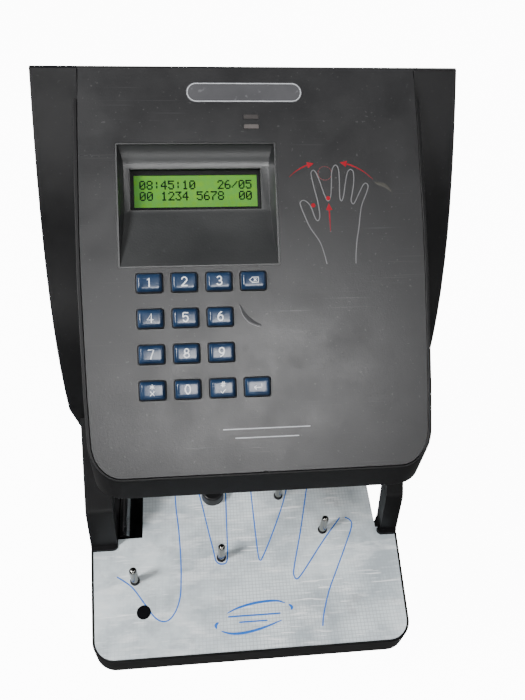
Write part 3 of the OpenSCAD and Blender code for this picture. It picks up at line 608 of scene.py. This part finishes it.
# strokes on a grid one unit high, centred on the origin
GLYPHS = {
    "1": [[(-0.16, 0.3), (0.02, 0.48), (0.02, -0.5)]],
    "2": [arc(0, 0.2, 0.29, 0.3, 165, -20, 10) + [(-0.28, -0.5)], [(-0.28, -0.5), (0.32, -0.5)]],
    "3": [arc(0, 0.24, 0.25, 0.26, 150, -90, 10), arc(0, -0.24, 0.29, 0.26, 90, -150, 10)],
    "4": [[(0.14, -0.5), (0.14, 0.5), (-0.32, -0.2), (0.34, -0.2)]],
    "5": [[(0.28, 0.5), (-0.22, 0.5), (-0.27, 0.03)], arc(0, -0.17, 0.29, 0.33, 140, -145, 12)],
    "6": [arc(0.32, -0.12, 0.6, 0.66, 108, 180, 7) + arc(0, -0.18, 0.29, 0.32, 180, 540, 16)],
    "7": [[(-0.3, 0.5), (0.3, 0.5), (-0.06, -0.5)]],
    "8": [arc(0, 0.25, 0.23, 0.25, -90, 270, 16), arc(0, -0.25, 0.29, 0.25, 90, 450, 16)],
    "9": [arc(0, 0.18, 0.29, 0.32, 0, 360, 16) + arc(-0.32, 0.12, 0.6, 0.66, 0, -72, 7)],
    "0": [arc(0, 0, 0.29, 0.5, 90, 450, 20)],
    "star": [[(0.26 * math.cos(a), 0.26 * math.sin(a)), (-0.26 * math.cos(a), -0.26 * math.sin(a))]
             for a in (math.pi / 2, math.pi / 6, -math.pi / 6)],
    "hash": [[(-0.1, -0.36), (-0.04, 0.36)], [(0.12, -0.36), (0.18, 0.36)],
             [(-0.28, 0.13), (0.32, 0.13)], [(-0.3, -0.13), (0.3, -0.13)]],
    "cross": [[(-0.25, -0.25), (0.25, 0.25)], [(-0.25, 0.25), (0.25, -0.25)]],
    "tick": [[(-0.3, 0.0), (-0.1, -0.24), (0.32, 0.26)]],
    "back": [[(-0.62, 0), (-0.22, 0.36), (0.62, 0.36), (0.62, -0.36), (-0.22, -0.36), (-0.62, 0)],
             [(0.02, -0.15), (0.32, 0.15)], [(0.02, 0.15), (0.32, -0.15)]],
    "enter": [[(0.55, 0.36), (0.55, -0.1), (-0.5, -0.1)],
              [(-0.22, 0.16), (-0.52, -0.1), (-0.22, -0.36)]],
}
STRAIGHT = {"1", "4", "7", "star", "hash", "cross", "tick", "back", "enter"}
# key: glyphs as (name, x, up, height in mm)
LEGENDS = {f"key_{d}": [(str(d), 0, 0, 4.3)] for d in range(10)}
LEGENDS["key_clear"] = [("back", 0, 0, 3.6)]
LEGENDS["key_star"] = [("star", 0, 1.8, 4.2), ("cross", 0, -1.5, 3.8)]
LEGENDS["key_hash"] = [("hash", 0, 1.8, 3.4), ("tick", 0, -1.6, 3.8)]
LEGENDS["key_enter"] = [("enter", 0, 0, 3.6)]

CAP_SIDE = 0.3
CAP_DRAFT = 1.7
CAP_TOP = 4.0
DIGIT_WIDTH = 0.62
SYMBOL_WIDTH = 0.42
LEGEND_HEIGHT = 0.07
CAP_PILLOW = 0.18
FLANGE_SIDE = 1.0
FLANGE_T = 1.0
SKIRT_R = 1.2
CAP_R = 1.2


def cap_height(x, y, w, l):
    """Height of the pillowed cap top over the panel, in mm."""
    u, v = 2 * x / w, 2 * y / l
    return CAP_TOP - CAP_PILLOW * (u * u + v * v) / 2


def make_key(node):
    low, high = panel_box(node)
    cx, cs = (low[0] + high[0]) / 2, (low[1] + high[1]) / 2
    flange_w, flange_l = high[0] - low[0], high[1] - low[1]
    w, l = flange_w - 2 * FLANGE_SIDE, flange_l - 2 * FLANGE_SIDE
    body = node + "_body"

    def place(x, y, h):
        return on_panel(cx + x, cs - y, h)

    # black skirt with its hidden flange: width, length, corner radius and height of each ring
    flange_top = low[2] + FLANGE_T
    levels = [(flange_w, flange_l, SKIRT_R, low[2]), (flange_w, flange_l, SKIRT_R, flange_top),
              (w, l, SKIRT_R, flange_top), (w, l, SKIRT_R, 0.45),
              (w - 0.2, l - 0.2, 1.1, 0.62), (w - 1.0, l - 1.0, 0.9, 0.68)]
    rings = [[place(x, y, h) for x, y in round_ring(rw, rl, r)] for rw, rl, r, h in levels]
    add_piece(node + "_skirt", *lofted(rings), MATERIALS["rubber"].material, body,
              slot="rubber_part")

    # blue cap: drafted sides, rolled shoulder, pillowed top
    base_w, base_l = w - 2 * CAP_SIDE, l - 2 * CAP_SIDE
    top_w, top_l = base_w - CAP_DRAFT, base_l - CAP_DRAFT
    rings = [[place(x, y, 0.5) for x, y in round_ring(base_w, base_l, CAP_R)],
             [place(x, y, 1.3) for x, y in round_ring(base_w, base_l, CAP_R)],
             [place(x, y, CAP_TOP - 0.9) for x, y in round_ring(top_w + 0.4, top_l + 0.4, 1.25)]]
    for grow, drop in ((0.0, 0.62), (-0.35, 0.25), (-0.8, 0.06), (-1.3, 0.0)):
        rings.append([place(x, y, cap_height(x, y, top_w, top_l) - drop)
                      for x, y in round_ring(top_w + grow, top_l + grow, CAP_R)])
    for share in (0.75, 0.5, 0.25):
        rings.append([place(x * share, y * share, cap_height(x * share, y * share, top_w, top_l))
                      for x, y in round_ring(top_w - 1.3, top_l - 1.3, 1.0)])
    cap = add_piece(node + "_cap", *lofted(rings), MATERIALS["key"].material, body, slot="key_blue")
    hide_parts(node)

    legend = Batch()
    for name, gx, gy, size in LEGENDS[node]:
        paths = [[(gx + x * size, gy + y * size) for x, y in p] for p in GLYPHS[name]]
        legend.strokes(paths, DIGIT_WIDTH if name.isdigit() else SYMBOL_WIDTH, LEGEND_HEIGHT,
                       lambda x, y, h: place(x, y, cap_height(x, y, top_w, top_l) + h),
                       curve=name not in STRAIGHT)
    legend.piece(node + "_legend", "legend_ink", body=body)


for joint in frame["joints"]:
    if joint["name"].endswith("_press"):
        make_key(joint["name"][:-len("_press")])

# ---------------------------------------------------------------- display

DIGIT_DOTS = {
    "0": "01110 10001 10011 10101 11001 10001 01110",
    "1": "00100 01100 00100 00100 00100 00100 01110",
    "2": "01110 10001 00001 00010 00100 01000 11111",
    "3": "11111 00010 00100 00010 00001 10001 01110",
    "4": "00010 00110 01010 10010 11111 00010 00010",
    "5": "11111 10000 11110 00001 00001 10001 01110",
    "6": "00110 01000 10000 11110 10001 10001 01110",
    "7": "11111 00001 00010 00100 01000 01000 01000",
    "8": "01110 10001 10001 01110 10001 10001 01110",
    "9": "01110 10001 10001 01111 00001 00010 01100",
    ":": "00000 00100 00100 00000 00100 00100 00000",
    "/": "00000 00001 00010 00100 01000 10000 00000",
}
DISPLAY_ROWS = ("08:45:10   26/05", "00 1234 5678  00")
CHAR_PITCH = 3.72
LINE_PITCH = 5.9
DOT_W, DOT_L = 0.62, 0.68
# each dot face is drawn wider than its pitch so that neighbours overlap; the extra dark width is
# painted shadow, the shadow each dot casts on the reflector behind the glass
DOT_AND_SHADOW_FACE = 0.78


def make_display_dots():
    low, high = panel_box("display_glass")
    cx, cs, top = (low[0] + high[0]) / 2, (low[1] + high[1]) / 2, high[2]
    batch = Batch()
    for row, line in enumerate(DISPLAY_ROWS):
        for column, char in enumerate(line):
            if char == " ":
                continue
            x0 = cx + (column - (len(DISPLAY_ROWS[0]) - 1) / 2) * CHAR_PITCH
            s0 = cs - 0.6 + (row - 0.5) * LINE_PITCH
            for r, bits in enumerate(DIGIT_DOTS[char].split()):
                for c, bit in enumerate(bits):
                    if bit == "0":
                        continue
                    x, s = x0 + (c - 2) * DOT_W, s0 + (r - 3) * DOT_L
                    rings = []
                    lift = 0.006 * ((r + c) % 2)
                    for size, h in ((DOT_AND_SHADOW_FACE, 0.0), (DOT_AND_SHADOW_FACE, 0.03), (DOT_AND_SHADOW_FACE - 0.08, 0.05)):
                        half = size / 2
                        rings.append([on_panel(x + i * half, s + j * half, top + h + lift) for i, j
                                      in ((1, 1), (-1, 1), (-1, -1), (1, -1))])
                    batch.take(lofted(rings, (False, True)))
    # the dark dots and the painted shadow round them, as one piece
    batch.piece("display_dots_and_shadow", "pixel", smooth=False)


make_display_dots()

# ---------------------------------------------------------------- marks on the panel

MARK_HEIGHT = 0.07


def disc(x, y, r, height, place, steps=28):
    """A low domed disc; place(x, y, h) sets a point."""
    rings = []
    for share, h in ((1.0, 0.0), (0.97, 0.8), (0.85, 1.0), (0.4, 1.0)):
        rings.append([place(x + r * share * math.cos(math.tau * i / steps),
                            y + r * share * math.sin(math.tau * i / steps), height * h)
                      for i in range(steps)])
    return lofted(rings)


def arrow(line, tail, neck, head_w, head_l, place, height):
    """A tapered shaft along a 2-D line that ends in a triangular head."""
    path = smooth_path(line, 6)
    tip = path[-1]
    while len(path) > 2 and (path[-1] - tip).length < head_l * 0.85:
        path.pop()
    ahead = (tip - path[-1]).normalized()
    side = Vector((-ahead.y, ahead.x))
    section = [(-1, 0), (-0.8, 1), (0.8, 1), (1, 0)]
    rings = []
    for i, p in enumerate(path):
        w = tail + (neck - tail) * i / (len(path) - 1)
        here = (path[min(i + 1, len(path) - 1)] - path[max(i - 1, 0)]).normalized()
        across = Vector((-here.y, here.x)) * w / 2
        rings.append([place(p.x + across.x * a, p.y + across.y * a, height * b)
                      for a, b in section])
    shaft = lofted(rings)
    neck_at = tip - ahead * head_l
    corners = [tip, neck_at + side * head_w / 2, neck_at - side * head_w / 2]
    middle = (corners[0] + corners[1] + corners[2]) / 3
    rings = []
    for share, h in ((1.0, 0.0), (0.94, 0.9), (0.8, 1.0)):
        rings.append([place(*(middle + (c - middle) * share), height * h) for c in corners])
    return shaft, lofted(rings)


HAND_LINE = [
    (36.5, 103), (35, 96.5), (33, 91), (28.5, 84), (26, 78), (24, 72.4), (24, 70.6), (25.4, 69.7),
    (27.3, 70.5), (29, 72.5), (30.2, 75.4), (31.4, 79.2), (32.7, 80.5), (33.7, 79), (33.8, 76),
    (33, 70), (31.5, 63.3), (30.4, 57.5), (30.2, 55.2), (31.5, 53.9), (33, 55.7), (34.8, 60.7),
    (37.1, 67.9), (38.6, 70.2), (40, 67.7), (40.7, 61.3), (41, 55.5), (42, 52.4), (43.3, 51.3),
    (44.5, 52.7), (45, 57), (44.8, 65), (44.9, 69), (45.7, 70.2), (46.8, 67.7), (48, 61.4),
    (49.3, 55.6), (51, 53.7), (52.5, 55.1), (52.6, 60), (51.5, 66.2), (50.7, 70), (51.6, 71.9),
    (52.9, 70.6), (55.5, 65.5), (57.7, 61.7), (59.2, 61.1), (60.1, 62.6), (59.2, 65.8),
    (56.5, 72), (55.3, 77), (54.3, 84), (53.1, 90), (52.2, 96.5), (51.8, 103)]


OUTLINE_WIDTH = 0.52
# where the fingers press inwards: two dots, then three arrows as lines to their tips
TOUCH_DOTS = ((38.6, 68.8), (30.6, 72.4))
TOUCH_DOT_R = 1.15
ARROW_LINES = (
    [(18.6, 57.4), (22.4, 54.3), (27.4, 51.6), (31.8, 50.3)],
    [(63.0, 59.1), (57.6, 54.6), (51.5, 51.5), (45.6, 49.9)],
    [(39.1, 86.5), (39.0, 79.0), (38.8, 71.4)],
)
ARROW_TAIL, ARROW_NECK = 0.1, 0.8
ARROW_HEAD_W, ARROW_HEAD_L = 3.4, 3.6
TARGET = (37.4, 55.6)
TARGET_R = 3.6
TARGET_DASHES = 15
PLATE_MARGIN = 1.2
# two plain rules as (x0, x1, s)
RULES = ((-20.0, 24.0, 186.0), (-14.0, 18.0, 190.5))


def make_panel_marks():
    outline = Batch()
    outline.strokes([HAND_LINE], OUTLINE_WIDTH, MARK_HEIGHT, on_panel)
    outline.piece("hand_outline", "outline_ink")

    red = Batch()
    for x, s in TOUCH_DOTS:
        red.take(disc(x, s, TOUCH_DOT_R, MARK_HEIGHT * 1.5, on_panel))
    for line in ARROW_LINES:
        for part in arrow(line, ARROW_TAIL, ARROW_NECK, ARROW_HEAD_W, ARROW_HEAD_L,
                          on_panel, MARK_HEIGHT):
            red.take(part)
    red.piece("hand_arrows", "red_ink")

    faint = Batch()
    dash = 360 // TARGET_DASHES
    for start in range(0, 360, dash):
        line = arc(*TARGET, TARGET_R, TARGET_R, start, start + 15, 4)
        faint.strokes([line], 0.3, 0.03, on_panel)
    faint.piece("hand_target", "faint_red")

    low, high = panel_box("name_plate")
    cx, cs = (low[0] + high[0]) / 2, (low[1] + high[1]) / 2
    w, l = high[0] - low[0] - PLATE_MARGIN, high[1] - low[1] - PLATE_MARGIN
    border = Batch()
    ring = [Vector((cx + x, cs + y)) for x, y in round_ring(w, l, l / 2, 8)]
    border.take(ribbon(ring, 0.5, 0.06, lambda x, s, h: on_panel(x, s, high[2] + h), True))
    border.piece("name_plate_border", "grey_ink")

    rules = Batch()
    for x0, x1, s in RULES:
        rules.strokes([[(x0, s), (x1, s)]], 0.55, 0.05, on_panel)
    rules.piece("panel_rules", "grey_ink")


make_panel_marks()

# ---------------------------------------------------------------- platen

_, platen_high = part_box("platen_plate")


def on_platen(x, y, h):
    """A point on the platen's top: x across and y from the wall, in mm, h above it."""
    return Vector((x * MM, y * MM, platen_high.z + h * MM))


HAND_SEAT = [
    [(-89.5, -162.0), (-81.0, -168.2), (-76.0, -174.0), (-70.6, -181.9), (-64.2, -190.6),
     (-59.0, -193.6), (-54.4, -192.4), (-50.5, -187.3), (-48.0, -180.3), (-46.9, -172.0),
     (-46.6, -153.0), (-47.7, -131.0), (-49.2, -115.5), (-50.0, -100.0), (-50.4, -85.0)],
    [(-36.0, -85.0), (-33.0, -101.0), (-31.0, -110.0), (-27.6, -128.6), (-23.7, -148.8),
     (-22.4, -155.3), (-18.6, -157.6), (-14.8, -155.1), (-13.9, -140.7), (-13.5, -121.8),
     (-13.0, -105.0), (-12.6, -85.0)],
    [(5.4, -85.0), (5.7, -105.6), (6.3, -130.8), (7.0, -152.6), (8.2, -156.6), (10.2, -154.0),
     (16.0, -142.7), (24.4, -124.3), (30.5, -108.8), (37.0, -88.0)],
    [(51.5, -88.0), (46.2, -108.2), (38.8, -136.7), (31.4, -161.9), (30.3, -168.6),
     (32.0, -171.4), (35.4, -168.6), (43.0, -159.2), (55.1, -143.9), (68.4, -128.7)],
    [(72.8, -128.6), (75.6, -130.6), (76.4, -135.0), (70.3, -147.9), (60.0, -167.5),
     (53.0, -180.9), (47.5, -195.2), (45.5, -203.5)],
]


def swelling(line, thin, thick, place, height):
    """A pen stroke that is widest in its middle."""
    path = smooth_path(line, 8)
    rings = []
    for i, p in enumerate(path):
        w = thin + (thick - thin) * math.sin(math.pi * i / (len(path) - 1)) ** 0.7
        ahead = (path[min(i + 1, len(path) - 1)] - path[max(i - 1, 0)]).normalized()
        side = Vector((-ahead.y, ahead.x)) * w / 2
        rings.append([place(p.x + side.x * a, p.y + side.y * a, height * b)
                      for a, b in ((-1, 0), (-0.8, 1), (0.8, 1), (1, 0))])
    return lofted(rings)


# a curved knock beside key 6, drawn as a grey scuff whose thin lighter edge is a painted highlight
# on its lit side, and a smear of old glue right of the hand: name, material, widest width in mm,
# line as (x, s)
WEAR = (
    ("scuff_groove", "charcoal", 1.9,
     [(-9.6, 122.8), (-7.2, 127.8), (-3.8, 131.4), (1.4, 134.0)]),
    # the knock's thin lighter edge: a painted highlight on its lit side
    ("scuff_painted_highlight", "outline_ink", 0.45,
     [(-9.6, 123.6), (-8.0, 128.6), (-4.6, 132.6), (0.6, 134.8)]),
    ("glue_smear", "residue", 2.0,
     [(63.6, 60.6), (66.4, 61.6), (69.4, 62.6), (72.4, 65.6)]),
)
WEAR_TIP = 0.12
WEAR_HEIGHT = 0.04


def make_wear():
    for name, material, width, line in WEAR:
        shape = swelling(line, WEAR_TIP, width, on_panel, WEAR_HEIGHT)
        add_piece(name, *shape, MATERIALS[material].material)


# the oval mark: pen strokes as (line, widest width) and two bars as (x0, x1, y)
OVAL_STROKES = (
    ([(-17.0, -191.3), (-9.8, -188.3), (-0.4, -186.1), (9.1, -185.1), (17.0, -185.3),
      (22.3, -187.1)], 1.7),
    ([(-21.5, -202.3), (-16.2, -204.2), (-9.7, -204.7), (-1.2, -203.8), (8.8, -201.4),
      (19.1, -198.0)], 1.7),
    ([(24.6, -188.0), (26.4, -190.0), (25.8, -191.8)], 1.8),
    ([(-22.8, -196.8), (-24.7, -198.4), (-24.2, -200.8)], 1.8),
)
OVAL_BARS = ((-16.0, 18.0, -193.6), (-9.0, 9.0, -197.6))
PRINT_HEIGHT = 0.05
FINGER_LINE = 0.9
BAR_LINE = 1.0
STROKE_TIP = 0.3
THUMB_DOT = (-71.4, -186.8)
THUMB_DOT_R = 4.65
THUMB_DOT_HEIGHT = 0.25


def make_platen_marks():
    seat = Batch()
    seat.strokes(HAND_SEAT, FINGER_LINE, PRINT_HEIGHT, on_platen)
    seat.piece("finger_outline", "blue_ink")

    mark = Batch()
    for line, thick in OVAL_STROKES:
        mark.take(swelling(line, STROKE_TIP, thick, on_platen, PRINT_HEIGHT))
    for x0, x1, y in OVAL_BARS:
        mark.strokes([[(x0, y), (x1, y)]], BAR_LINE, PRINT_HEIGHT, on_platen)
    mark.piece("oval_mark", "blue_ink")

    dot = Batch()
    dot.take(disc(*THUMB_DOT, THUMB_DOT_R, THUMB_DOT_HEIGHT, on_platen, 40))
    dot.piece("thumb_dot", "black_ink")


make_wear()
make_platen_marks()


def islands(node):
    """Boxes (low, high) of a CAD node's separate solids."""
    mesh = bmesh.new()
    mesh.from_mesh(frame["nodes"][node].data)
    bmesh.ops.remove_doubles(mesh, verts=mesh.verts, dist=WELD_GAP * MM)
    left, found = set(mesh.verts), []
    while left:
        reach, group = [left.pop()], []
        while reach:
            v = reach.pop()
            group.append(v.co.copy())
            for e in v.link_edges:
                other = e.other_vert(v)
                if other in left:
                    left.discard(other)
                    reach.append(other)
        found.append((Vector([min(c) for c in zip(*group)]), Vector([max(c) for c in zip(*group)])))
    mesh.free()
    return sorted(found, key=lambda b: tuple(round(c, 5) for c in b[0]))


def turned(node, name, profile_of, material, slot_name, steps=40):
    """Replaces upright turned CAD solids by a lathed piece of the same place and height."""
    batch = Batch()
    for low, high in islands(node):
        middle = (low + high) / 2
        r, h = (high.x - low.x) / 2 / MM, (high.z - low.z) / MM
        verts, faces = lathe(profile_of(r, h), steps)
        batch.take(([Vector((middle.x, middle.y, low.z)) + v * MM for v in verts], faces))
    obj = batch.piece(name, material)
    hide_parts(node)


def pin_profile(r, h):
    """A pin with a small chamfer at its foot and a slightly flattened round tip."""
    foot = 0.3
    dome = r * 0.9
    rows = [(r - foot, 0.0), (r, foot), (r, h - dome)]
    for i in range(1, 9):
        a = math.radians(90 * i / 9)
        rows.append((r * math.cos(a), h - dome + dome * math.sin(a)))
    return rows + [(r * 0.08, h)]


def post_profile(r, h):
    """A squat post with a rolled top edge."""
    roll = 1.6
    rows = [(r, 0.0), (r, h - roll)]
    for i in range(1, 7):
        a = math.radians(90 * i / 7)
        rows.append((r - roll + roll * math.cos(a), h - roll + roll * math.sin(a)))
    return rows + [(r - 1.8, h), (r * 0.4, h)]


turned("finger_pins", "finger_pins_turned", pin_profile, "pin_steel", "pin_steel")
turned("finger_post", "finger_post_turned", post_profile, "black", "black_part", 56)

# ---------------------------------------------------------------- stage

FLOOR_HALF = 12.0
# the terminal hangs on a wall, clear of the floor, so that it can swing down on its hinge
FLOOR_DROP = 0.3
FLOOR_GLOW = 12.0
WORLD_GLOW = 0.17


def stage_material(name, tone, glow):
    m = Shader(name, rough=0.9, Emission_Strength=glow, Specular_IOR_Level=0.1)
    paint = m.blend(m.noise(3.0), tone, [c * 0.99 for c in tone])
    m.colour(paint)
    m.put(m.shader.inputs["Emission Color"], paint)
    return m.material


def make_floor():
    mesh = bpy.data.meshes.new("floor")
    z = cad_low.z - FLOOR_DROP
    h = FLOOR_HALF
    mesh.from_pydata([(-h, -h, z), (h, -h, z), (h, h, z), (-h, h, z)], [], [(0, 1, 2, 3)])
    mesh.materials.append(stage_material("floor_paint", (0.95, 0.95, 0.95), FLOOR_GLOW))
    obj = bpy.data.objects.new("floor", mesh)
    bpy.context.scene.collection.objects.link(obj)
    obj.visible_glossy = False
    obj.visible_diffuse = False


def softbox(name, at, towards, size, power):
    """A rectangular lamp of the given size at a point, aimed at another."""
    data = bpy.data.lights.new(name, "AREA")
    data.shape = "RECTANGLE"
    data.size, data.size_y = size
    data.energy = power
    obj = bpy.data.objects.new(name, data)
    at, towards = Vector(at), Vector(towards)
    turn = (towards - at).to_track_quat("-Z", "Y").to_matrix().to_4x4()
    obj.matrix_world = Matrix.Translation(at) @ turn
    bpy.context.scene.collection.objects.link(obj)


def make_world(strength):
    world = bpy.data.worlds.new("studio")
    world.use_nodes = True
    back = world.node_tree.nodes["Background"]
    back.inputs["Color"].default_value = (1.0, 1.0, 1.0, 1.0)
    back.inputs["Strength"].default_value = strength
    bpy.context.scene.world = world


make_floor()
make_world(WORLD_GLOW)
softbox("panel_light", (0.08, -0.86, 1.09), (0.0, -0.13, 0.06), (0.5, 0.24), 8)
softbox("left_light", (-0.95, -0.5, 0.98), (0.0, -0.15, -0.05), (0.3, 0.3), 29)
softbox("right_light", (1.0, -0.3, 1.0), (0.0, -0.15, -0.05), (0.3, 0.3), 3)
softbox("front_light", (-0.1, -1.7, 0.08), (0.0, -0.1, 0.05), (1.2, 0.3), 7)
softbox("rear_light", (0.6, 1.6, 0.8), (0.0, 0.0, 0.0), (0.8, 0.8), 14)
